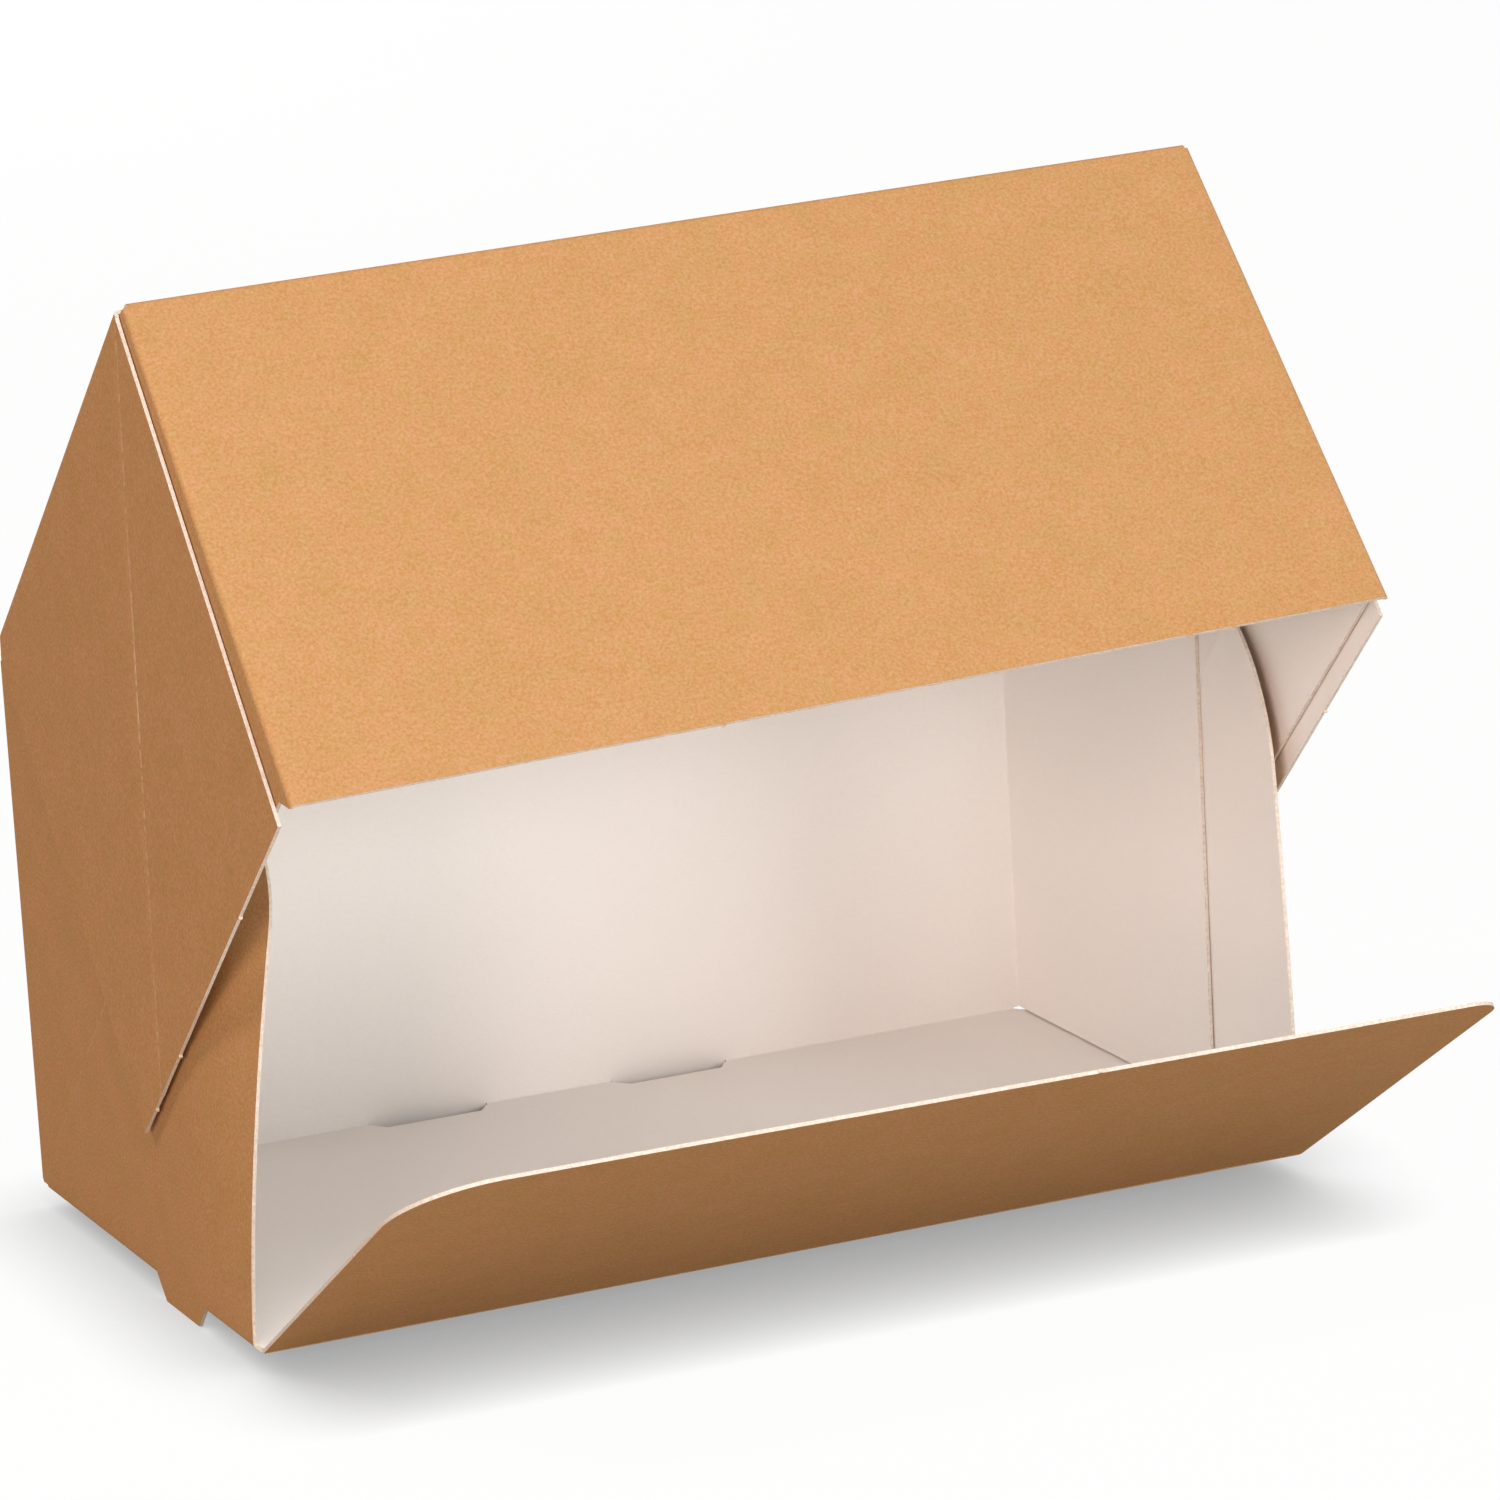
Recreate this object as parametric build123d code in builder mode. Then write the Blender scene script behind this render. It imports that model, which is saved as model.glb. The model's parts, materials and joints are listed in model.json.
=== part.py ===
"""Pastry box folded and glued from one sheet of paperboard: an open-fronted tray on four small feet,
a hood that swings on the tray's rear top crease, and a front flap that swings on its front crease."""

import os

from build123d import *

# Overall size of the tray, in millimetres
length = 150.0  # across the outer faces of the two side walls
depth = 85.0  # front crease to the outer face of the rear wall
height = 75.0  # underside of the bottom to the top of the shut hood

# Board, folds and clearances
board = 0.5  # thickness of the paperboard
fold_radius = 0.5  # middle of the board, round a crease
crease_gap = 0.3  # between the two panels of a crease that works as a hinge
lap_gap = 0.35  # between the shut hood and the tray inside it
foot_strip = 3.0  # width of bottom or top panel drawn with each fold

# Tray
corner_flap = 61.0  # glued flaps of the rear wall, along the side walls
corner_flap_lift = 1.2  # their lower edge above the underside of the bottom
wall_front_setback = 0.9  # side walls stop this far behind the front crease
wall_front_radius = 20.0  # rounded upper front corner of a side wall
relief_radius = 1.2  # die-cut hole where the bottom creases meet

# Feet: tabs cut from the bottom panel that stay in the plane of their wall
tab_drop = 2.8
side_tab_root = 19.4
side_tab_slope = 3.6  # each end leans in by this much from root to tip
side_tab_from_rear = 55.5
rear_tab_root = 17.8
rear_tab_slope = 1.9
rear_tab_pitch = 36.8

# Hood
hood_open_angle = 44.2  # raised from shut, as it stands
hood_front_lift = 1.6  # lower edge of the hood's front above the underside of the tray
hood_corner_flap = 58.0  # glued flaps of the hood's front, along its wings
hood_flap_drop = 1.0  # their upper edge below the top panel
wing_lift = 1.4  # lower edge of a wing above the underside of the tray
wing_front_setback = 1.8  # wing's front cut edge behind the hood's front, at its top
wing_front_slant = 2.7  # and further behind by this much at its lower end
wing_rear_setback = 3.0  # wing's rear cut edge in front of the hinge crease
wing_chamfer = 3.5  # cut-off upper rear corner of a wing

# Score lines pressed at 45 degrees across the side panels, so that the blank folds flat
score_width = 0.8
score_depth = 0.1

# Front flap
flap_lean = 31.8  # above level, as it stands
flap_length = 67.0
flap_side_setback = 0.5  # each side of the flap inside the tray's outer face
flap_left_radius = 12.5
flap_right_radius = 5.0

# Mid-planes of the panels, and the two hinge creases
fold_outer = fold_radius + board / 2
bottom_mid = board / 2
rear_mid = depth / 2 - board / 2
front_hinge_y = -(depth / 2 - board / 2)
side_mid = length / 2 - board / 2
corner_flap_mid = side_mid - board
top_mid = height - board / 2
wall_top = height - board - lap_gap
wall_front = -depth / 2 + wall_front_setback
hood_front_mid = -(depth / 2 + lap_gap + board / 2)
hood_flap_mid = length / 2 + lap_gap + board / 2
wing_mid = hood_flap_mid + board
wing_front = hood_front_mid - board / 2 + wing_front_setback
wing_rear = rear_mid - wing_rear_setback
top_side = hood_flap_mid - fold_radius
wing_outside = wing_mid + board / 2
hood_hinge = Axis((0, rear_mid, top_mid), (1, 0, 0))
flap_hinge = Axis((0, front_hinge_y, bottom_mid), (1, 0, 0))
side_tab_y = depth / 2 - side_tab_from_rear
flap_width = length - 2 * flap_side_setback


def tab_outline(root, slope, drop, above):
    """Closed outline of a foot hanging from its wall: straight above the crease, slanted ends below."""
    half = root / 2
    Polyline(
        (-half, above),
        (-half, 0),
        (-half + slope, -drop),
        (half - slope, -drop),
        (half, 0),
        (half, above),
        close=True,
    )


with BuildPart() as tray:
    # Bottom panel, with a rounded front edge that the flap swings on
    bottom_front_to_back = rear_mid - fold_radius - front_hinge_y
    with BuildSketch(Plane.XY):
        with Locations((0, front_hinge_y)):
            Rectangle(length - 2 * fold_outer, bottom_front_to_back, align=(Align.CENTER, Align.MIN))
    extrude(amount=board)
    with BuildSketch(Plane.YZ):
        with Locations((front_hinge_y, bottom_mid)):
            Circle(board / 2)
    extrude(amount=length / 2 - fold_outer, both=True)

    # Side walls, folded up from the bottom
    with BuildSketch(Plane.XZ.offset(-depth / 2)):
        with BuildLine():
            FilletPolyline(
                (side_mid - foot_strip, bottom_mid),
                (side_mid, bottom_mid),
                (side_mid, wall_top),
                radius=fold_radius,
            )
        trace(line_width=board)
        mirror(about=Plane.YZ)
    extrude(amount=depth / 2 - wall_front)
    upper_front_corners = (
        tray.edges()
        .filter_by(Axis.X)
        .filter_by_position(Axis.Y, wall_front - board, wall_front + board)
        .filter_by_position(Axis.Z, wall_top - board, wall_top + board)
    )
    fillet(upper_front_corners, radius=wall_front_radius)

    # Rear wall, folded up from the bottom, with the rounded top edge that the hood swings on
    with BuildSketch(Plane.YZ):
        with BuildLine():
            FilletPolyline(
                (rear_mid - foot_strip, bottom_mid),
                (rear_mid, bottom_mid),
                (rear_mid, top_mid),
                radius=fold_radius,
            )
        trace(line_width=board)
        with Locations((rear_mid, top_mid)):
            Circle(board / 2)
    extrude(amount=corner_flap_mid - fold_radius, both=True)

    # Corner flaps, folded from the rear wall and glued to the inner faces of the side walls
    flap_end = depth / 2 - corner_flap
    with BuildSketch(Plane.XY.offset(corner_flap_lift)):
        with BuildLine():
            FilletPolyline(
                (-corner_flap_mid, flap_end),
                (-corner_flap_mid, rear_mid),
                (corner_flap_mid, rear_mid),
                (corner_flap_mid, flap_end),
                radius=fold_radius,
            )
        trace(line_width=board)
    extrude(amount=wall_top - corner_flap_lift)

    # Relief holes where the rear crease and the side creases meet
    relief_x = length / 2 - board - relief_radius
    relief_y = depth / 2 - board - relief_radius / 2
    with BuildSketch(Plane.XY):
        with Locations((-relief_x, relief_y), (relief_x, relief_y)):
            Circle(relief_radius)
    extrude(amount=corner_flap_lift, mode=Mode.SUBTRACT)

    # Side feet: each is cut out of the bottom panel, which keeps its hole, and stays in line with its wall
    for side in (-1, 1):
        wall_inside = side * (length / 2 - board)
        hole_plane = Plane(origin=(wall_inside, side_tab_y, 0), x_dir=(0, side, 0), z_dir=(0, 0, 1))
        with BuildSketch(hole_plane):
            with BuildLine():
                tab_outline(side_tab_root, side_tab_slope, -tab_drop, -board)
            make_face()
        extrude(amount=fold_outer, mode=Mode.SUBTRACT)
        tab_plane = Plane(origin=(wall_inside, side_tab_y, 0), x_dir=(0, side, 0), z_dir=(side, 0, 0))
        with BuildSketch(tab_plane):
            with BuildLine():
                tab_outline(side_tab_root, side_tab_slope, tab_drop, fold_outer)
            make_face()
        extrude(amount=board)

    # Rear feet, made the same way under the rear wall
    for tab_x in (-rear_tab_pitch / 2, rear_tab_pitch / 2):
        hole_plane = Plane(origin=(tab_x, depth / 2 - board, 0), x_dir=(1, 0, 0), z_dir=(0, 0, 1))
        with BuildSketch(hole_plane):
            with BuildLine():
                tab_outline(rear_tab_root, rear_tab_slope, tab_drop, board)
            make_face()
        extrude(amount=fold_outer, mode=Mode.SUBTRACT)
        tab_plane = Plane(origin=(tab_x, depth / 2, 0), x_dir=(1, 0, 0), z_dir=(0, -1, 0))
        with BuildSketch(tab_plane):
            with BuildLine():
                tab_outline(rear_tab_root, rear_tab_slope, tab_drop, fold_outer)
            make_face()
        extrude(amount=board)

    # Score line across each side wall's outer face, from the rear bottom corner
    wall_score_run = wall_top - fold_outer
    for side in (-1, 1):
        with BuildSketch(Plane.YZ.offset(side * length / 2)):
            with BuildLine():
                Line((depth / 2, fold_outer), (depth / 2 - wall_score_run, wall_top))
            trace(line_width=score_width)
        extrude(amount=-side * score_depth, mode=Mode.SUBTRACT)
tray.part.label = "tray"

with BuildPart() as shut_hood:
    # Top panel, hollowed along its rear edge to turn round the rear wall's top edge
    top_front = hood_front_mid + fold_radius
    with BuildSketch(Plane.XY.offset(height - board)):
        with Locations((0, top_front)):
            Rectangle(2 * top_side, rear_mid - top_front, align=(Align.CENTER, Align.MIN))
    extrude(amount=board)
    with BuildSketch(Plane.YZ):
        with Locations((rear_mid, top_mid)):
            Circle(board / 2 + crease_gap)
    extrude(amount=top_side, both=True, mode=Mode.SUBTRACT)

    # Wings, folded down from the top panel, outside the tray's side walls
    with BuildSketch(Plane.XZ.offset(-wing_rear)):
        with BuildLine():
            FilletPolyline(
                (wing_mid - foot_strip, top_mid),
                (wing_mid, top_mid),
                (wing_mid, wing_lift),
                radius=fold_radius,
            )
        trace(line_width=board)
        mirror(about=Plane.YZ)
    extrude(amount=wing_rear - wing_front)
    # Their front edges are cut at a slant, further back at the lower end
    with BuildSketch(Plane.YZ):
        with BuildLine():
            Polyline(
                (wing_front, height - fold_outer),
                (wing_front, wing_lift),
                (wing_front + wing_front_slant, wing_lift),
                close=True,
            )
        make_face()
    extrude(amount=wing_outside, both=True, mode=Mode.SUBTRACT)

    # Front panel, folded down from the top panel
    with BuildSketch(Plane.YZ):
        with BuildLine():
            FilletPolyline(
                (hood_front_mid + foot_strip, top_mid),
                (hood_front_mid, top_mid),
                (hood_front_mid, hood_front_lift),
                radius=fold_radius,
            )
        trace(line_width=board)
    extrude(amount=top_side, both=True)

    # Corner flaps, folded back from the front panel and glued to the inner faces of the wings
    hood_flap_end = hood_front_mid - board / 2 + hood_corner_flap
    with BuildSketch(Plane.XY.offset(hood_front_lift)):
        with BuildLine():
            FilletPolyline(
                (-hood_flap_mid, hood_flap_end),
                (-hood_flap_mid, hood_front_mid),
                (hood_flap_mid, hood_front_mid),
                (hood_flap_mid, hood_flap_end),
                radius=fold_radius,
            )
        trace(line_width=board)
    extrude(amount=height - board - hood_flap_drop - hood_front_lift)

    # Each wing's upper rear corner is cut off beside the hinge crease, and its outer face is scored from
    # the ridge to its lower edge
    wing_score_run = height - fold_outer - wing_lift
    for side in (-1, 1):
        with BuildSketch(Plane.YZ.offset(side * top_side)):
            with BuildLine():
                Polyline(
                    (wing_rear, height),
                    (wing_rear - wing_chamfer, height),
                    (wing_rear, height - wing_chamfer),
                    close=True,
                )
            make_face()
        extrude(amount=side * (wing_outside - top_side), mode=Mode.SUBTRACT)
        with BuildSketch(Plane.YZ.offset(side * wing_outside)):
            with BuildLine():
                Line(
                    (wing_front, height - fold_outer),
                    (wing_front + wing_score_run, height - fold_outer - wing_score_run),
                )
            trace(line_width=score_width)
        extrude(amount=-side * score_depth, mode=Mode.SUBTRACT)

with BuildPart() as hood:
    add(shut_hood.part.rotate(hood_hinge, -hood_open_angle))
hood.part.label = "hood"

with BuildPart() as upright_flap:
    # Front flap, drawn standing up: its lower edge is hollowed to turn round the bottom's front edge
    with BuildSketch(Plane.XZ.offset(-front_hinge_y)) as flap_outline:
        with Locations((0, bottom_mid)):
            Rectangle(flap_width, flap_length, align=(Align.CENTER, Align.MIN))
        fillet(flap_outline.vertices().group_by(Axis.Y)[-1].sort_by(Axis.X)[0], radius=flap_left_radius)
        fillet(flap_outline.vertices().group_by(Axis.Y)[-1].sort_by(Axis.X)[-1], radius=flap_right_radius)
    extrude(amount=board / 2, both=True)
    with BuildSketch(Plane.YZ):
        with Locations((front_hinge_y, bottom_mid)):
            Circle(board / 2 + crease_gap)
    extrude(amount=flap_width, both=True, mode=Mode.SUBTRACT)

with BuildPart() as front_flap:
    add(upright_flap.part.rotate(flap_hinge, 90 - flap_lean))
front_flap.part.label = "front_flap"

os.makedirs("parts", exist_ok=True)
export_step(tray.part, "parts/tray.step")
export_step(hood.part, "parts/hood.step")
export_step(front_flap.part, "parts/front_flap.step")
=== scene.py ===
import json
from math import copysign, cos, radians, sin

import bmesh
import bpy
from mathutils import Matrix, Vector, noise
from mathutils.geometry import intersect_point_line


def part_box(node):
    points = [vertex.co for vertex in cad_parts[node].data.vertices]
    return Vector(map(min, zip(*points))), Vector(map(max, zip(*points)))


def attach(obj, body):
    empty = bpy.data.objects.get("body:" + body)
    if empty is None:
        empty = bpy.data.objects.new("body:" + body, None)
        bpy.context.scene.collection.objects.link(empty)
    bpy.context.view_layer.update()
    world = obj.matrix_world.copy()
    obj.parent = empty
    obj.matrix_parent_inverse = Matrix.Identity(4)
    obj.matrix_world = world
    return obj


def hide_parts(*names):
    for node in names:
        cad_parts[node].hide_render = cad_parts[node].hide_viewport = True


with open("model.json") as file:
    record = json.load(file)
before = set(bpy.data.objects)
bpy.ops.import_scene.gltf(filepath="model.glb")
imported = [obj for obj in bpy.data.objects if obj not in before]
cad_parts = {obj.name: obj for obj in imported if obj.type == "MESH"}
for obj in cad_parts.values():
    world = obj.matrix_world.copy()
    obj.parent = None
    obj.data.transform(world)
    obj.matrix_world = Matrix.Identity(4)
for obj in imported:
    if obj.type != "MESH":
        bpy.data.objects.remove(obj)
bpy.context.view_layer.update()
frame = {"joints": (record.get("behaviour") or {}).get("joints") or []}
joints = {joint["name"]: joint for joint in frame["joints"]}

# The paperboard that every panel is cut from: white board with a kraft brown liner on its outer
# face. The liner is matt, with a fine pulp grain and a soft, cloudy change of colour over a few
# millimetres.
mm = 0.001
board = 0.5 * mm
liner = 0.15 * mm
relief_strength = 0.35


def shader_of(material):
    """The material's own shader, its nodes and its links."""
    material.use_nodes = True
    tree = material.node_tree
    return tree.nodes["Principled BSDF"], tree.nodes, tree.links


def grain(nodes, links, place, cycles_per_metre, detail):
    """A noise pattern of that fineness over the object's own coordinates."""
    pattern = nodes.new("ShaderNodeTexNoise")
    pattern.inputs["Scale"].default_value = cycles_per_metre
    pattern.inputs["Detail"].default_value = detail
    links.new(place.outputs["Object"], pattern.inputs["Vector"])
    return pattern


def shades(nodes, links, pattern, stops):
    """Colours laid over a pattern's values, as (value, colour) pairs."""
    ramp = nodes.new("ShaderNodeValToRGB")
    first, last = ramp.color_ramp.elements[0], ramp.color_ramp.elements[-1]
    first.position, first.color = stops[0][0], (*stops[0][1], 1)
    last.position, last.color = stops[-1][0], (*stops[-1][1], 1)
    for position, colour in stops[1:-1]:
        ramp.color_ramp.elements.new(position).color = (*colour, 1)
    links.new(pattern.outputs[0], ramp.inputs["Fac"])
    return ramp


def mixed(nodes, links, kind, share, below, above):
    """Two colours mixed by a share. Each of the three is a plain value or a node's output."""
    mix = nodes.new("ShaderNodeMix")
    mix.data_type = "RGBA"
    mix.blend_type = kind
    # This node takes its two colours at inputs 6 and 7 and gives the mixed one at output 2
    for socket, value in ((mix.inputs[0], share), (mix.inputs[6], below), (mix.inputs[7], above)):
        if isinstance(value, bpy.types.NodeSocket):
            links.new(value, socket)
        else:
            socket.default_value = value
    return mix.outputs[2]


def raised(nodes, links, shader, pattern, height):
    """Gives the surface that pattern as a slight relief."""
    bump = nodes.new("ShaderNodeBump")
    bump.inputs["Strength"].default_value = relief_strength
    bump.inputs["Distance"].default_value = height
    links.new(pattern.outputs[0], bump.inputs["Height"])
    links.new(bump.outputs["Normal"], shader.inputs["Normal"])


kraft = bpy.data.materials.new("kraft_liner")
shader, nodes, links = shader_of(kraft)
shader.inputs["Roughness"].default_value = 0.78
shader.inputs["Specular IOR Level"].default_value = 0.1
place = nodes.new("ShaderNodeTexCoord")
pulp = grain(nodes, links, place, 2600, 4)
cloud = grain(nodes, links, place, 190, 3)
tint = grain(nodes, links, place, 420, 2)
pulp_colour = shades(
    nodes,
    links,
    pulp,
    [(0.34, (0.441, 0.229, 0.077)), (0.50, (0.477, 0.262, 0.109)), (0.68, (0.514, 0.302, 0.151))],
)
cloud_colour = shades(
    nodes, links, cloud, [(0.32, (0.485, 0.49, 0.47)), (0.68, (0.515, 0.51, 0.53))]
)
tint_colour = shades(
    nodes, links, tint, [(0.30, (0.49, 0.512, 0.49)), (0.70, (0.51, 0.488, 0.51))]
)
clouded = mixed(
    nodes, links, "OVERLAY", 1.0, pulp_colour.outputs["Color"], cloud_colour.outputs["Color"]
)
tinted = mixed(nodes, links, "OVERLAY", 1.0, clouded, tint_colour.outputs["Color"])
# Along a score the liner is cracked, and the white board shows through in a broken pale line
wear = nodes.new("ShaderNodeAttribute")
wear.attribute_name = "score_wear"
cracks = grain(nodes, links, place, 900, 3)
crack_colour = shades(nodes, links, cracks, [(0.35, (0.0, 0.0, 0.0)), (0.62, (1.0, 1.0, 1.0))])
worn = nodes.new("ShaderNodeMath")
worn.operation = "MULTIPLY"
links.new(wear.outputs["Fac"], worn.inputs[0])
links.new(crack_colour.outputs["Color"], worn.inputs[1])
cracked_liner = (0.80, 0.62, 0.45, 1)
kraft_colour = mixed(nodes, links, "MIX", worn.outputs[0], tinted, cracked_liner)
links.new(kraft_colour, shader.inputs["Base Color"])
raised(nodes, links, shader, pulp, 0.05 * mm)

white = bpy.data.materials.new("white_board")
shader, nodes, links = shader_of(white)
shader.inputs["Roughness"].default_value = 0.62
shader.inputs["Specular IOR Level"].default_value = 0.12
place = nodes.new("ShaderNodeTexCoord")
fibre = grain(nodes, links, place, 3000, 3)
haze = grain(nodes, links, place, 120, 2)
fibre_colour = shades(
    nodes, links, fibre, [(0.30, (0.93, 0.893, 0.86)), (0.70, (0.96, 0.928, 0.90))]
)
haze_colour = shades(
    nodes, links, haze, [(0.30, (0.49, 0.488, 0.486)), (0.70, (0.51, 0.51, 0.51))]
)
white_colour = mixed(
    nodes, links, "OVERLAY", 1.0, fibre_colour.outputs["Color"], haze_colour.outputs["Color"]
)
links.new(white_colour, shader.inputs["Base Color"])
raised(nodes, links, shader, fibre, 0.02 * mm)

cut_edge = bpy.data.materials.new("cut_board_edge")
shader, nodes, links = shader_of(cut_edge)
shader.inputs["Roughness"].default_value = 0.85
shader.inputs["Specular IOR Level"].default_value = 0.1
place = nodes.new("ShaderNodeTexCoord")
torn = grain(nodes, links, place, 2200, 4)
torn_colour = shades(nodes, links, torn, [(0.30, (0.62, 0.53, 0.44)), (0.70, (0.80, 0.73, 0.65))])
links.new(torn_colour.outputs["Color"], shader.inputs["Base Color"])
raised(nodes, links, shader, torn, 0.05 * mm)

# Every piece carries these three materials, in this order
board_materials = (kraft, white, cut_edge)
kraft_index = 0
white_index = 1
edge_index = 2

# The tray: bottom, rear wall, side walls, glued corner flaps and four tab feet, folded from one
# sheet of the board. The sheet is drawn as its kraft face, one half and then its mirror image, and
# gets its thickness at the end.
tray_low, tray_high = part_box("tray")
hood_hinge = Vector(joints["hood_hinge"]["pos_m"])
flap_hinge = Vector(joints["flap_hinge"]["pos_m"])
fold_outer = 0.75 * mm
fold_steps = 5
wall_x = tray_high.x
rear_y = tray_high.y
foot_z = tray_low.z
wall_front_setback = 0.65 * mm
wall_front = flap_hinge.y + wall_front_setback
wall_top_drop = 0.75 * mm
wall_top = hood_hinge.z - wall_top_drop
wall_front_radius = 20 * mm
corner_segments = 14
relief = 1.2 * mm
side_foot_root = (-22.7 * mm, -3.3 * mm)
side_foot_slope = 3.6 * mm
rear_foot_root = (9.5 * mm, 27.3 * mm)
rear_foot_slope = 1.9 * mm
glue_slack = 0.03 * mm
corner_flap_length = 61 * mm
corner_flap_end = rear_y - corner_flap_length
corner_flap_lift = 0.9 * mm
side_crease = wall_x - fold_outer
rear_crease = rear_y - fold_outer
square_pitch = 4 * mm
score_half_width = 0.4 * mm
score_depth = 0.1 * mm
score_worn_share = 0.2
nick_half_width = 0.35 * mm
nick_length = 0.3 * mm
nick_taper = 0.5
ripple_height = 0.12 * mm
ripples_per_metre = 22
ripple_start = Vector((3.1, 0.7, 5.3))
smooth_below = radians(32)
near = 0.001 * mm


def edges_along(sheet, axis, place, low=-1.0, high=1.0, other=2):
    """Edges that lie on a plane across one axis, between two heights on another axis."""
    return [
        edge
        for edge in sheet.edges
        if all(abs(v.co[axis] - place) < near for v in edge.verts)
        and all(low - near < v.co[other] < high + near for v in edge.verts)
    ]


def fold(sheet, edges, pivot, axis):
    """Turns the board square round a crease, and returns the edges where the next panel starts."""
    turned = bmesh.ops.spin(
        sheet, geom=edges, cent=pivot, axis=axis, angle=radians(90), steps=fold_steps
    )
    return [part for part in turned["geom_last"] if isinstance(part, bmesh.types.BMEdge)]


def grow(sheet, edges, way):
    """Extends the board from these edges into a panel, and returns the panel's far corners."""
    made = bmesh.ops.extrude_edge_only(sheet, edges=edges)["geom"]
    far = [part for part in made if isinstance(part, bmesh.types.BMVert)]
    bmesh.ops.translate(sheet, verts=far, vec=way)
    return far


def ends_of(edges, axis):
    """The corners of a run of edges, in order along an axis."""
    return sorted({v for edge in edges for v in edge.verts}, key=lambda v: v.co[axis])


def join_panels(sheet, axis, low, high, other, level):
    """Takes out the lines between neighbouring strips of one flat panel."""
    seams = [
        edge
        for edge in sheet.edges
        if len(edge.link_faces) == 2
        and all(abs(v.co[axis] - level) < near for v in edge.verts)
        and abs(edge.verts[0].co[other] - edge.verts[1].co[other]) < near
        and low + near < edge.verts[0].co[other] < high - near
    ]
    bmesh.ops.dissolve_edges(sheet, edges=seams, use_verts=True)


def cut(sheet, faces, point, across):
    """Divides these faces where a plane crosses them, and leaves both sides in place."""
    edges = {edge for face in faces for edge in face.edges}
    corners = {v for face in faces for v in face.verts}
    bmesh.ops.bisect_plane(
        sheet, geom=[*faces, *edges, *corners], plane_co=point, plane_no=across, dist=near / 10
    )


def cut_into_squares(sheet, low, high):
    """Divides every panel by planes across the three axes, so that it can be bent smoothly."""
    for axis in range(3):
        across = Vector((0, 0, 0))
        across[axis] = 1
        first, last = int(low[axis] // square_pitch), int(high[axis] // square_pitch)
        for step in range(first, last + 1):
            if low[axis] < step * square_pitch < high[axis]:
                cut(sheet, sheet.faces[:], across * step * square_pitch, across)


def press_score(sheet, faces, start, run, inward, least_wear, most_wear):
    """Presses a straight score into flat faces, worn most in the middle of its run."""
    across = run.cross(inward).normalized()
    for shift in (-score_half_width, 0, score_half_width):
        plane = start + across * shift
        inside = [face for face in sheet.faces if face in faces]
        cut(sheet, inside, plane, across)
        on_plane = [v for v in sheet.verts if abs((v.co - plane).dot(across)) < near]
        faces |= {face for v in on_plane for face in v.link_faces}
        faces = {
            face
            for face in faces
            if all(abs((v.co - start).dot(inward)) < near for v in face.verts)
        }
    layer = sheet.verts.layers.float["score_wear"]
    for v in {v for face in faces for v in face.verts}:
        if abs((v.co - start).dot(across)) < near:
            share = (v.co - start).dot(run) / run.length_squared
            middle = max(0.0, 1 - abs(share - 0.5) / score_worn_share)
            v[layer] = least_wear + (most_wear - least_wear) * middle
            v.co += inward * score_depth


def leave_nick(sheet, spot, outward):
    """Leaves the torn stub of a bridge that held the blank, on the free edge at a spot."""
    for shift in (-nick_half_width, nick_half_width):
        rim = free_edge_at(sheet, spot)
        along = (rim.verts[1].co - rim.verts[0].co).normalized()
        cut(sheet, rim.link_faces[:], spot + along * shift, along)
    rim = free_edge_at(sheet, spot)
    stub = grow(sheet, [rim], outward * nick_length)
    middle = (stub[0].co + stub[1].co) / 2
    for v in stub:
        v.co = middle + (v.co - middle) * nick_taper


def free_edge_at(sheet, spot):
    """The free edge of the sheet that passes nearest to a spot."""

    def distance(edge):
        _, share = intersect_point_line(spot, edge.verts[0].co, edge.verts[1].co)
        return (edge.verts[0].co.lerp(edge.verts[1].co, min(max(share, 0), 1)) - spot).length

    return min((edge for edge in sheet.edges if edge.is_boundary), key=distance)


def ripple(sheet):
    """Takes the dead flatness out of the panels, as damp and handling do."""
    sheet.normal_update()
    for v in sheet.verts:
        wave = noise.noise(v.co * ripples_per_metre + ripple_start)
        v.co -= v.normal * ripple_height * (0.5 + 0.5 * wave)


def thicken(sheet):
    """Gives the sheet its thickness inward from the kraft face, and lines its cut edges."""
    kraft_faces = set(sheet.faces)
    made = bmesh.ops.solidify(sheet, geom=sheet.faces[:], thickness=board)["geom"]
    white_faces = {part for part in made if isinstance(part, bmesh.types.BMFace)}
    rim_faces = set(sheet.faces) - kraft_faces - white_faces
    for face in white_faces:
        face.material_index = white_index
    for face in rim_faces:
        face.material_index = edge_index
    outer = {v for face in kraft_faces for v in face.verts}
    through = [e for e in sheet.edges if len(e.link_faces) == 2 and set(e.link_faces) <= rim_faces]
    share = liner / board
    bmesh.ops.subdivide_edges(
        sheet,
        edges=through,
        cuts=1,
        edge_percents={e: share if e.verts[0] in outer else 1 - share for e in through},
    )
    for face in sheet.faces:
        if face.material_index == edge_index and any(v in outer for v in face.verts):
            face.material_index = kraft_index


def make_piece(sheet, name, body):
    """Turns the finished board into an object that rides on its body."""
    sheet.normal_update()
    for face in sheet.faces:
        face.smooth = True
    for edge in sheet.edges:
        edge.smooth = edge.calc_face_angle(0) < smooth_below
    mesh = bpy.data.meshes.new(name)
    sheet.to_mesh(mesh)
    sheet.free()
    for material in board_materials:
        mesh.materials.append(material)
    piece = bpy.data.objects.new(name, mesh)
    bpy.context.scene.collection.objects.link(piece)
    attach(piece, body)
    return piece


def round_corner(sheet, corner, radius):
    """Rounds one free corner of a flat panel."""
    bmesh.ops.bevel(
        sheet,
        geom=[corner],
        offset=radius,
        offset_type="OFFSET",
        affect="VERTICES",
        segments=corner_segments,
        profile=0.5,
        material=-1,
    )


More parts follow.
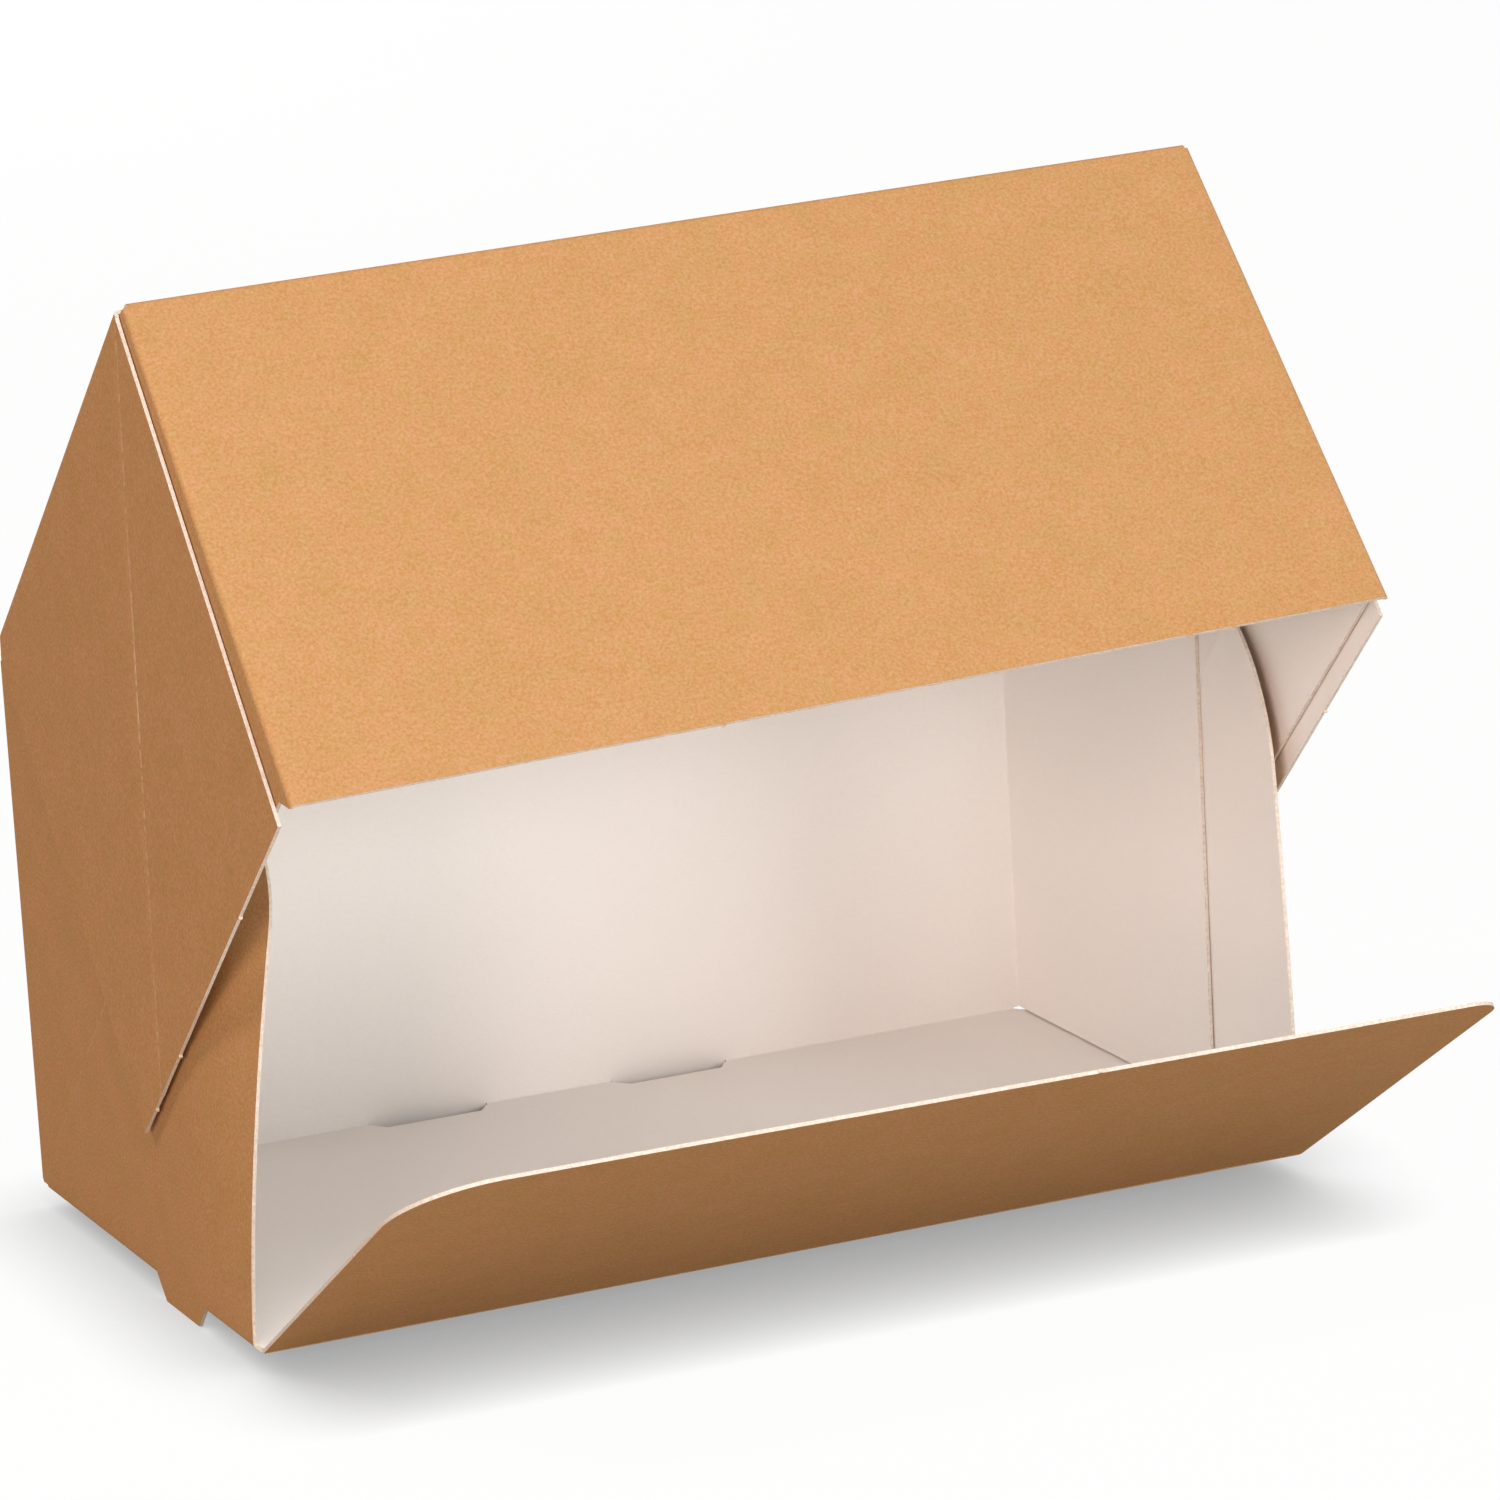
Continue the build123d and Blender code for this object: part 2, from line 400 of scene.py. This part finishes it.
def mirror_half(sheet):
    """Adds the other half of the sheet, with every kraft face outward."""
    bmesh.ops.mirror(
        sheet, geom=[*sheet.verts, *sheet.edges, *sheet.faces], merge_dist=near, axis="X"
    )
    bmesh.ops.recalc_face_normals(sheet, faces=sheet.faces[:])


tray = bmesh.new()
tray.verts.layers.float.new("score_wear")
foot_hole_x = wall_x - board + foot_z
foot_hole_y = rear_y - board + foot_z
bottom_outline = [
    (0, flap_hinge.y, 0),
    (side_crease, flap_hinge.y, 0),
    (side_crease, wall_front, 0),
    (side_crease, side_foot_root[0], 0),
    (foot_hole_x, side_foot_root[0] + side_foot_slope, 0),
    (foot_hole_x, side_foot_root[1] - side_foot_slope, 0),
    (side_crease, side_foot_root[1], 0),
    (side_crease, rear_crease - relief, 0),
    (side_crease - relief, rear_crease, 0),
    (rear_foot_root[1], rear_crease, 0),
    (rear_foot_root[1] - rear_foot_slope, foot_hole_y, 0),
    (rear_foot_root[0] + rear_foot_slope, foot_hole_y, 0),
    (rear_foot_root[0], rear_crease, 0),
    (0, rear_crease, 0),
]
tray.faces.new([tray.verts.new(corner) for corner in bottom_outline])

# Side wall, its foot and its rounded upper front corner
side_start = fold(
    tray,
    edges_along(tray, 0, side_crease, wall_front, rear_y, other=1),
    (side_crease, 0, fold_outer),
    (0, -1, 0),
)
_, foot_front, foot_rear, relief_end = ends_of(side_start, 1)
foot_edge = tray.edges.new((foot_front, foot_rear))
wall_rear_corner = tray.verts.new((wall_x, rear_y, fold_outer))
tail_edge = tray.edges.new((relief_end, wall_rear_corner))
grow(tray, [*side_start, foot_edge, tail_edge], (0, 0, wall_top - fold_outer))
join_panels(tray, 0, wall_front, rear_y, 1, wall_x)
foot_tip = grow(tray, [foot_edge], (0, 0, foot_z - fold_outer))
for v in foot_tip:
    v.co.y += side_foot_slope if v.co.y < sum(side_foot_root) / 2 else -side_foot_slope
upper_front = Vector((wall_x, wall_front, wall_top))
upper_front_corner = min(tray.verts, key=lambda v: (v.co - upper_front).length)
round_corner(tray, upper_front_corner, wall_front_radius)

# Rear wall and its foot, up to the crease that the hood swings on
corner_x = wall_x - board - glue_slack - fold_outer
rear_start = fold(
    tray, edges_along(tray, 1, rear_crease), (0, rear_crease, fold_outer), (1, 0, 0)
)
_, foot_near, foot_far, relief_end = ends_of(rear_start, 0)
foot_edge = tray.edges.new((foot_near, foot_far))
rear_corner = tray.verts.new((corner_x, rear_y, fold_outer))
tail_edge = tray.edges.new((relief_end, rear_corner))
grow(tray, [*rear_start, foot_edge, tail_edge], (0, 0, hood_hinge.z - fold_outer))
join_panels(tray, 1, 0, corner_x, 0, rear_y)
foot_tip = grow(tray, [foot_edge], (0, 0, foot_z - fold_outer))
for v in foot_tip:
    v.co.x += rear_foot_slope if v.co.x < sum(rear_foot_root) / 2 else -rear_foot_slope

# Corner flap, folded from the rear wall and glued inside the side wall
rear_panel = [face for face in tray.faces if all(abs(v.co.y - rear_y) < near for v in face.verts)]
cut(tray, rear_panel, (0, 0, corner_flap_lift), (0, 0, 1))
rear_panel = [face for face in tray.faces if all(abs(v.co.y - rear_y) < near for v in face.verts)]
cut(tray, rear_panel, (0, 0, wall_top), (0, 0, 1))
flap_start = fold(
    tray,
    edges_along(tray, 0, corner_x, corner_flap_lift, wall_top),
    (corner_x, rear_crease, 0),
    (0, 0, -1),
)
grow(tray, flap_start, (0, corner_flap_end - rear_crease, 0))

mirror_half(tray)
cut_into_squares(tray, tray_low, tray_high)
for side in (-1, 1):
    wall_faces = {
        face for face in tray.faces if all(abs(v.co.x - side * wall_x) < near for v in face.verts)
    }
    score_run = wall_top - fold_outer
    press_score(
        tray,
        wall_faces,
        Vector((side * wall_x, rear_y, fold_outer)),
        Vector((0, -score_run, score_run)),
        Vector((-side, 0, 0)),
        least_wear=0.08,
        most_wear=0.2,
    )

# The corner flaps' free front edges stand off the side walls a little, more towards the bottom
flap_glued_to = 10 * mm
stand_off_above = 0.02 * mm
stand_off_below = 0.2 * mm
for v in tray.verts:
    on_corner_flap = corner_x + fold_outer - near < abs(v.co.x) < wall_x - board + near
    if on_corner_flap and corner_flap_end - near < v.co.y < flap_glued_to:
        free = (flap_glued_to - v.co.y) / (flap_glued_to - corner_flap_end)
        lower = 1 - v.co.z / wall_top
        stand_off = (stand_off_above + stand_off_below * lower**2) * free**2
        v.co.x -= copysign(stand_off, v.co.x)

# The left end of the hood hangs low, so the left wall and the flap glued to it are cut lower
# towards the front to clear it
hood_sag_degrees = 2.2
sag = radians(hood_sag_degrees)
lowering_power = 10
for v in tray.verts:
    if v.co.x < -corner_x and v.co.z > 0:
        upward = v.co.z / wall_top
        v.co.z -= sag * max(hood_hinge.y - v.co.y, 0) * upward**lowering_power

# Nothing holds the fronts of the side walls, and they lean in at the top, the left one far more.
# The foot of the left one's front edge is set back for the hood as well.
lean_start = corner_flap_end - 1 * mm
side_wall_from = wall_x - 0.3 * mm
left_lean = 8.8 * mm
left_top_curl = 8 * mm
right_lean = 2.9 * mm
forward_power = 1.4
lean_power = 1.6
curl_power = 14
hood_clearance = 1.05 * mm
for v in tray.verts:
    if abs(v.co.x) > side_wall_from and v.co.y < lean_start:
        forward = (lean_start - v.co.y) / (lean_start - wall_front)
        upward = min(max(v.co.z / wall_top, 0), 1)
        bend = forward**forward_power
        if v.co.x < 0:
            v.co.x += bend * (left_lean * upward**lean_power + left_top_curl * upward**curl_power)
            v.co.y += forward * max(sag * (wall_top - v.co.z) - hood_clearance, 0)
        else:
            v.co.x -= bend * right_lean * upward**lean_power

ripple(tray)
thicken(tray)
# No part of the tray stands out behind its rear wall
for v in tray.verts:
    v.co.y = min(v.co.y, rear_y)
tray_board = make_piece(tray, "tray_board", "tray")
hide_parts("tray")

# The hood: top, front and two wings of the same sheet, with corner flaps of the front glued inside
# the wings. It is drawn shut, one half and then its mirror image, and is turned up about the crease
# on the rear wall.
open_degrees = -joints["hood_hinge"]["range_deg"][0]
top_z = hood_hinge.z + board / 2
lap_gap = 0.35 * mm
hood_flap_x = wall_x + lap_gap + board
wing_x = hood_flap_x + board
front_y = flap_hinge.y - board / 2 - lap_gap - board
top_crease_z = top_z - fold_outer
front_crease = front_y + fold_outer
wing_slack = 0.2 * mm
flap_crease_x = hood_flap_x - fold_outer - wing_slack
wing_crease = wing_x - fold_outer
wing_front_setback = 1.8 * mm
wing_front = front_y + wing_front_setback
wing_front_slant = 2.7 * mm
wing_rear_setback = 3 * mm
wing_rear = hood_hinge.y - wing_rear_setback
wing_rear_slant = 2.5 * mm
wing_chamfer = 2.75 * mm
wing_low = 1.4 * mm
front_low = 1.6 * mm
hood_flap_drop = 0.1 * mm
hood_flap_top = top_crease_z - hood_flap_drop
hood_flap_rise = 2.5 * mm
hood_flap_length = 58 * mm
hood_flap_end = front_y + hood_flap_length
wing_nicks = (-16 * mm, 20.3 * mm, 35.2 * mm)
front_nicks = (-18.3 * mm, 46.8 * mm, 52.9 * mm)

hood = bmesh.new()
hood.verts.layers.float.new("score_wear")
wing_crease_end = wing_rear - wing_chamfer
top_outline = [
    (0, hood_hinge.y, top_z),
    (flap_crease_x, hood_hinge.y, top_z),
    (flap_crease_x, wing_crease_end, top_z),
    (wing_crease, wing_crease_end, top_z),
    (wing_crease, wing_front, top_z),
    (flap_crease_x, wing_front, top_z),
    (flap_crease_x, front_crease, top_z),
    (0, front_crease, top_z),
]
hood.faces.new([hood.verts.new(corner) for corner in top_outline])

# Wing, with its upper rear corner cut off beside the crease and its front and rear edges slanted
wing_start = fold(
    hood, edges_along(hood, 0, wing_crease), (wing_crease, 0, top_crease_z), (0, 1, 0)
)
chamfer_end = grow(hood, wing_start, (0, 0, -wing_chamfer))
max(chamfer_end, key=lambda v: v.co.y).co.y += wing_chamfer
wing_drop = top_crease_z - wing_low
min(chamfer_end, key=lambda v: v.co.y).co.y += wing_front_slant * wing_chamfer / wing_drop
wing_foot = grow(
    hood,
    edges_along(hood, 0, wing_x, top_crease_z - wing_chamfer, top_crease_z - wing_chamfer),
    (0, 0, wing_chamfer - wing_drop),
)
min(wing_foot, key=lambda v: v.co.y).co.y = wing_front + wing_front_slant
max(wing_foot, key=lambda v: v.co.y).co.y += wing_rear_slant
bmesh.ops.dissolve_edges(
    hood,
    edges=edges_along(hood, 0, wing_x, top_crease_z - wing_chamfer, top_crease_z - wing_chamfer),
    use_verts=False,
)

# Front panel, and the corner flap folded back from it, which ends above the wing's lower edge
front_start = fold(
    hood, edges_along(hood, 1, front_crease), (0, front_crease, top_crease_z), (1, 0, 0)
)
grow(hood, front_start, (0, 0, front_low - top_crease_z))
front_panel = [face for face in hood.faces if all(abs(v.co.y - front_y) < near for v in face.verts)]
cut(hood, front_panel, (0, 0, hood_flap_top), (0, 0, 1))
flap_start = fold(
    hood,
    edges_along(hood, 0, flap_crease_x, front_low, hood_flap_top),
    (flap_crease_x, front_crease, 0),
    (0, 0, 1),
)
flap_neck = grow(hood, flap_start, (0, hood_flap_rise, 0))
min(flap_neck, key=lambda v: v.co.z).co.z += hood_flap_rise
grow(hood, [hood.edges.get(flap_neck)], (0, hood_flap_end - front_crease - hood_flap_rise, 0))

mirror_half(hood)
hood_low = Vector((-wing_x, front_y, wing_low))
hood_high = Vector((wing_x, hood_hinge.y, top_z))
cut_into_squares(hood, hood_low, hood_high)
for side in (-1, 1):
    wing_faces = {
        face for face in hood.faces if all(abs(v.co.x - side * wing_x) < near for v in face.verts)
    }
    press_score(
        hood,
        wing_faces,
        Vector((side * wing_x, wing_front, top_crease_z)),
        Vector((0, wing_drop, -wing_drop)),
        Vector((-side, 0, 0)),
        least_wear=0.4,
        most_wear=1.0,
    )
    for nick_y in wing_nicks:
        leave_nick(hood, Vector((side * wing_x, nick_y, wing_low)), Vector((0, 0, -1)))
for nick_x in front_nicks:
    leave_nick(hood, Vector((nick_x, front_y, front_low)), Vector((0, 0, -1)))


def swing(sheet, hinge, left_degrees, right_degrees):
    """Turns a panel up about its crease, by an angle that changes evenly from end to end."""
    for v in sheet.verts:
        from_left = v.co.x / (2 * wall_x) + 0.5
        turn = radians(left_degrees + (right_degrees - left_degrees) * from_left)
        arm_y = v.co.y - hinge.y
        arm_z = v.co.z - hinge.z
        v.co.y = hinge.y + arm_y * cos(turn) + arm_z * sin(turn)
        v.co.z = hinge.z - arm_y * sin(turn) + arm_z * cos(turn)


ripple(hood)
thicken(hood)
# The card is not quite true: the left end of the hood hangs a little lower than the right
swing(hood, hood_hinge, open_degrees - hood_sag_degrees, open_degrees)
hood_board = make_piece(hood, "hood_board", "hood")
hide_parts("hood")

# The front flap: the panel of the same sheet that folds up inside the shut hood, with two rounded
# corners, the left one larger. It is drawn lying level in front of the bottom, and then raised
# about its crease, the right end less.
lean_degrees = -joints["flap_hinge"]["range_deg"][0]
flap_half_width = 74.5 * mm
flap_length = 66.7 * mm
flap_end = flap_hinge.y - flap_length
right_corner_radius = 5 * mm
left_corner_radius = 12.5 * mm
flap_nick_x = 17 * mm
left_more_degrees = 0.5
right_less_degrees = 0.2

flap = bmesh.new()
flap.verts.layers.float.new("score_wear")
flap_outline = [
    (-flap_half_width, flap_hinge.y, 0),
    (flap_half_width, flap_hinge.y, 0),
    (flap_half_width, flap_end, 0),
    (-flap_half_width, flap_end, 0),
]
flap_corners = [flap.verts.new(corner) for corner in flap_outline]
flap.faces.new(flap_corners)
_, _, right_corner, left_corner = flap_corners
round_corner(flap, right_corner, right_corner_radius)
round_corner(flap, left_corner, left_corner_radius)
cut_into_squares(
    flap,
    Vector((-flap_half_width, flap_end, -board)),
    Vector((flap_half_width, flap_hinge.y, board)),
)
leave_nick(flap, Vector((flap_nick_x, flap_end, 0)), Vector((0, -1, 0)))
ripple(flap)
thicken(flap)
swing(flap, flap_hinge, lean_degrees + left_more_degrees, lean_degrees - right_less_degrees)
flap_board = make_piece(flap, "flap_board", "front_flap")
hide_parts("front_flap")

# The two working creases: the bent board between the panels, a slim bead round each hinge line.
# Its outer side is kraft and its inner side white, and it keeps the crease closed at every angle.
bead_segments = 24


def crease_bead(name, hinge, half_length, inner_side):
    """A bead round a hinge line, white where it faces the inner side."""
    bead = bmesh.new()
    turn = Matrix.Translation(hinge) @ Matrix.Rotation(radians(90), 4, "Y")
    bmesh.ops.create_cone(
        bead,
        cap_ends=True,
        segments=bead_segments,
        radius1=board / 2,
        radius2=board / 2,
        depth=2 * half_length,
        matrix=turn,
    )
    bead.normal_update()
    for face in bead.faces:
        is_end = abs(face.normal.x) > 0.5
        if is_end:
            face.material_index = edge_index
        elif face.normal.dot(inner_side) > 0:
            face.material_index = white_index
    return make_piece(bead, name, "tray")


crease_bead("hood_crease", hood_hinge, corner_x, Vector((0, -1, 0)))
crease_bead("flap_crease", flap_hinge, side_crease, Vector((0, 0, 1)))

# The plain white floor that the box stands on, with its feet just touching. It looks white to the
# camera, and its glow is darkened by ambient occlusion under and round the box, a painted shadow;
# only its small lit share takes the lamps' own shadow of the box. The light that it throws back up
# on the box is that of a duller, warmer floor.
floor_reach = 4
shadow_reach = 18 * mm
shadow_lift = 0.35
glow_share = 0.95
floor_white = (0.95, 0.95, 0.95, 1)
floor_dull = (0.40, 0.34, 0.28, 1)
floor_mesh = bmesh.new()
bmesh.ops.create_grid(
    floor_mesh,
    x_segments=1,
    y_segments=1,
    size=floor_reach,
    matrix=Matrix.Translation((0, 0, foot_z)),
)
mesh = bpy.data.meshes.new("floor")
floor_mesh.to_mesh(mesh)
floor_mesh.free()
floor = bpy.data.objects.new("floor", mesh)
bpy.context.scene.collection.objects.link(floor)
paper = bpy.data.materials.new("white_floor")
shader, nodes, links = shader_of(paper)
shader.inputs["Roughness"].default_value = 1
shader.inputs["Specular IOR Level"].default_value = 0
glow = nodes.new("ShaderNodeEmission")
# Painted shadow: the glow is darker where ambient occlusion finds the box near the floor, lifted by
# a share of white
uncovered = nodes.new("ShaderNodeAmbientOcclusion")
uncovered.inputs["Distance"].default_value = shadow_reach
painted_shadow = mixed(nodes, links, "MIX", shadow_lift, uncovered.outputs["Color"], (1, 1, 1, 1))
links.new(painted_shadow, glow.inputs["Color"])


def seen_directly(nodes, links):
    """One for rays that show a thing to the camera, straight, mirrored or through glass."""
    path = nodes.new("ShaderNodeLightPath")
    seen = path.outputs["Is Camera Ray"]
    for kind in ("Is Glossy Ray", "Is Transmission Ray"):
        either = nodes.new("ShaderNodeMath")
        either.operation = "MAXIMUM"
        links.new(seen, either.inputs[0])
        links.new(path.outputs[kind], either.inputs[1])
        seen = either.outputs[0]
    return seen


seen = seen_directly(nodes, links)
floor_colour = mixed(nodes, links, "MIX", seen, floor_dull, floor_white)
links.new(floor_colour, shader.inputs["Base Color"])
share = nodes.new("ShaderNodeMath")
share.operation = "MULTIPLY"
share.inputs[1].default_value = glow_share
links.new(seen, share.inputs[0])
blend = nodes.new("ShaderNodeMixShader")
links.new(share.outputs[0], blend.inputs["Fac"])
links.new(shader.outputs["BSDF"], blend.inputs[1])
links.new(glow.outputs["Emission"], blend.inputs[2])
links.new(blend.outputs["Shader"], nodes["Material Output"].inputs["Surface"])
mesh.materials.append(paper)

# Soft studio light: lamps to the left, to the right and in front, two more high up on the left and
# in front, one behind the box and one beyond its right end, and a faint warm light from the room.
# The room itself looks white.


def soft_lamp(name, place, aim, size, watts, colour):
    """A square lamp that faces a point."""
    lamp = bpy.data.lights.new(name, "AREA")
    lamp.size = size
    lamp.energy = watts
    lamp.color = colour
    lamp_object = bpy.data.objects.new(name, lamp)
    lamp_object.location = place
    lamp_object.rotation_euler = (Vector(aim) - Vector(place)).to_track_quat("-Z", "Y").to_euler()
    bpy.context.scene.collection.objects.link(lamp_object)


box_middle = (0, -0.01, 0.06)
clear = (1.0, 1.0, 0.985)
warm = (1.0, 0.82, 0.75)
soft_lamp("left_lamp", (-1.0, -0.98, 0.36), box_middle, 0.6, 10.3, warm)
soft_lamp("high_left_lamp", (-0.829, 0.072, 1.248), box_middle, 0.3, 6.5, warm)
soft_lamp("right_lamp", (0.759, -1.214, 0.287), box_middle, 0.55, 7.4, clear)
soft_lamp("front_lamp", (0, -1.436, 0.262), box_middle, 0.5, 4.5, clear)
soft_lamp("high_front_lamp", (-0.081, -0.929, 1.171), box_middle, 0.8, 10.8, clear)
soft_lamp("back_lamp", (0.1, 1.4, 0.45), box_middle, 0.6, 6.0, clear)
soft_lamp("back_right_lamp", (1.4, 0.25, 0.35), box_middle, 0.5, 3.5, clear)
room = bpy.data.worlds.new("room")
room.use_nodes = True
nodes, links = room.node_tree.nodes, room.node_tree.links
nodes["Background"].inputs["Color"].default_value = (1.0, 0.90, 0.82, 1)
nodes["Background"].inputs["Strength"].default_value = 0.03
backdrop = nodes.new("ShaderNodeBackground")
backdrop.inputs["Color"].default_value = (1, 1, 1, 1)
blend = nodes.new("ShaderNodeMixShader")
links.new(seen_directly(nodes, links), blend.inputs["Fac"])
links.new(nodes["Background"].outputs[0], blend.inputs[1])
links.new(backdrop.outputs[0], blend.inputs[2])
links.new(blend.outputs[0], nodes["World Output"].inputs["Surface"])
bpy.context.scene.world = room
bpy.context.scene.view_settings.view_transform = "Standard"

# The camera stands in front of the box, to its left and above it. It has a long lens and is rolled
# a little.
camera_place = Vector((-357.5, -857.0, 287.3)) * mm
heading = radians(23.524)
look_down = radians(13.872)
roll = radians(-3.25)
look = Vector((sin(heading) * cos(look_down), cos(heading) * cos(look_down), -sin(look_down)))
camera_data = bpy.data.cameras.new("camera")
camera_data.sensor_width = 36
camera_data.lens = 171.6
camera_data.clip_start = 0.05
camera_data.clip_end = 20
camera = bpy.data.objects.new("camera", camera_data)
level_view = look.to_track_quat("-Z", "Y").to_matrix().to_4x4()
camera.matrix_world = Matrix.Translation(camera_place) @ level_view @ Matrix.Rotation(roll, 4, "Z")
bpy.context.scene.collection.objects.link(camera)
bpy.context.scene.camera = camera
